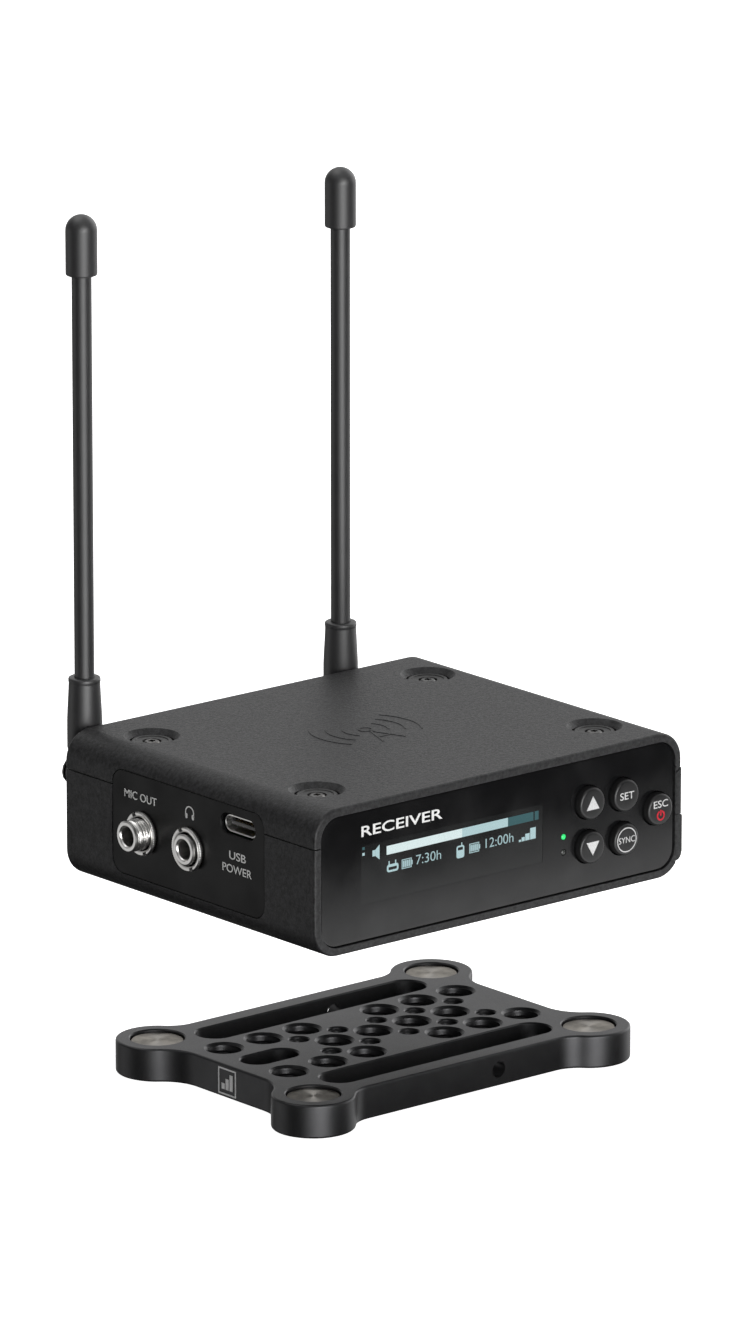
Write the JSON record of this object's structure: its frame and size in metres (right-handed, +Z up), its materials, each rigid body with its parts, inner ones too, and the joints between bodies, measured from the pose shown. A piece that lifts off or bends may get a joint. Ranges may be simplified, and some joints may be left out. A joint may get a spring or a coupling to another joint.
{
  "type": "wireless receiver unit",
  "caption": "Compact wireless audio receiver with display, keys, side sockets, swivelling antennas and battery door, above its magnetic mounting plate.",
  "frame": {"origin": "on the surface the plate lies on, at the middle of the whole unit's footprint", "axes": "+Z up, towards the antenna tips; -Y is the front with the display; +X is the side with the battery door"},
  "size_m": [0.09, 0.079, 0.1559],
  "materials": {
    "case_paint": "black fine-texture powder coat on cast metal",
    "door_plastic": "black, fine sand texture",
    "panel_gloss": "polished black",
    "window_glass": "dark tinted, polished",
    "display": "lit graphic display behind the window",
    "button_plastic": "black, satin",
    "led_green": "lit green",
    "led_dark": "unlit",
    "nickel": "bright nickel",
    "steel": "turned, radial sheen",
    "circuit_board": "green solder mask",
    "inner_plastic": "moulded black",
    "cell_wrap": null,
    "antenna_rubber": "satin black sleeve",
    "foot_rubber": "matt black",
    "plate_anodised": "black anodised, bead blasted"
  },
  "bodies": {
    "plate": {"mounting_plate": "plate_anodised", "plate_magnet_fl": "steel", "plate_magnet_fr": "steel", "plate_magnet_rl": "steel", "plate_magnet_rr": "steel"},
    "receiver": {"top_magnet_fl": "steel", "top_magnet_fr": "steel", "top_magnet_rl": "steel", "top_magnet_rr": "steel", "case_screw_fl": "steel", "case_screw_fr": "steel", "case_screw_rl": "steel", "case_screw_rr": "steel", "door_hinge_pin": "steel", "antenna_left_hub": "steel", "antenna_right_hub": "steel", "foot_fl": "foot_rubber", "foot_fr": "foot_rubber", "foot_rl": "foot_rubber", "foot_rr": "foot_rubber", "lower_shell": "case_paint", "upper_shell": "case_paint", "front_panel": "panel_gloss", "io_panel": "panel_gloss", "display_window": "window_glass", "display_module": "display", "led_link": "led_green", "led_audio": "led_dark", "key_board": "circuit_board", "main_board": "circuit_board", "mic_jack": "nickel", "mic_jack_nut": "nickel", "phones_jack": "nickel", "phones_jack_nut": "nickel", "usb_c_shell": "nickel", "rf_shield": "nickel", "battery_contact_front": "nickel", "battery_contact_rear": "nickel", "usb_c_tongue": "inner_plastic", "battery_tray": "inner_plastic", "battery_cell_inner": "cell_wrap", "battery_cell_outer": "cell_wrap"},
    "button_up": {"button_up": "button_plastic"},
    "button_down": {"button_down": "button_plastic"},
    "button_set": {"button_set": "button_plastic"},
    "button_sync": {"button_sync": "button_plastic"},
    "button_esc": {"button_esc": "button_plastic"},
    "battery_door": {"battery_door": "door_plastic"},
    "door_catch_front": {"door_catch_front": "button_plastic"},
    "door_catch_rear": {"door_catch_rear": "button_plastic"},
    "antenna_left": {"antenna_left_boot": "antenna_rubber", "antenna_left_rod": "antenna_rubber", "antenna_left_cap": "antenna_rubber"},
    "antenna_right": {"antenna_right_boot": "antenna_rubber", "antenna_right_rod": "antenna_rubber", "antenna_right_cap": "antenna_rubber"}
  },
  "joints": [
    {"name": "receiver_dock", "type": "slide", "parent": "plate", "child": "receiver", "axis": [0, 0, 1], "range_m": [-0.0285, 0]},
    {"name": "button_up_press", "type": "slide", "parent": "receiver", "child": "button_up", "axis": [0, 1, 0], "range_m": [0, 0.00045], "stiffness_N_per_m": 2500},
    {"name": "button_down_press", "type": "slide", "parent": "receiver", "child": "button_down", "axis": [0, 1, 0], "range_m": [0, 0.00045], "stiffness_N_per_m": 2500},
    {"name": "button_set_press", "type": "slide", "parent": "receiver", "child": "button_set", "axis": [0, 1, 0], "range_m": [0, 0.00045], "stiffness_N_per_m": 2500},
    {"name": "button_sync_press", "type": "slide", "parent": "receiver", "child": "button_sync", "axis": [0, 1, 0], "range_m": [0, 0.00045], "stiffness_N_per_m": 2500},
    {"name": "button_esc_press", "type": "slide", "parent": "receiver", "child": "button_esc", "axis": [0, 1, 0], "range_m": [0, 0.00045], "stiffness_N_per_m": 2500},
    {"name": "battery_door_hinge", "type": "hinge", "parent": "receiver", "child": "battery_door", "pos_m": [0.04351, -0.00335, 0.0395], "axis": [0, 1, 0], "range_deg": [0, 90]},
    {"name": "door_catch_front_slide", "type": "slide", "parent": "battery_door", "child": "door_catch_front", "axis": [0, 1, 0], "range_m": [0, 0.0008], "stiffness_N_per_m": 1500},
    {"name": "door_catch_rear_slide", "type": "slide", "parent": "battery_door", "child": "door_catch_rear", "axis": [0, -1, 0], "range_m": [0, 0.0008], "stiffness_N_per_m": 1500},
    {"name": "antenna_left_swivel", "type": "hinge", "parent": "receiver", "child": "antenna_left", "pos_m": [-0.03343, 0.03565, 0.0525], "axis": [0, 1, 0], "range_deg": [-90, 10]},
    {"name": "antenna_right_swivel", "type": "hinge", "parent": "receiver", "child": "antenna_right", "pos_m": [0.02677, 0.03565, 0.0525], "axis": [0, 1, 0], "range_deg": [-10, 90]}
  ]
}
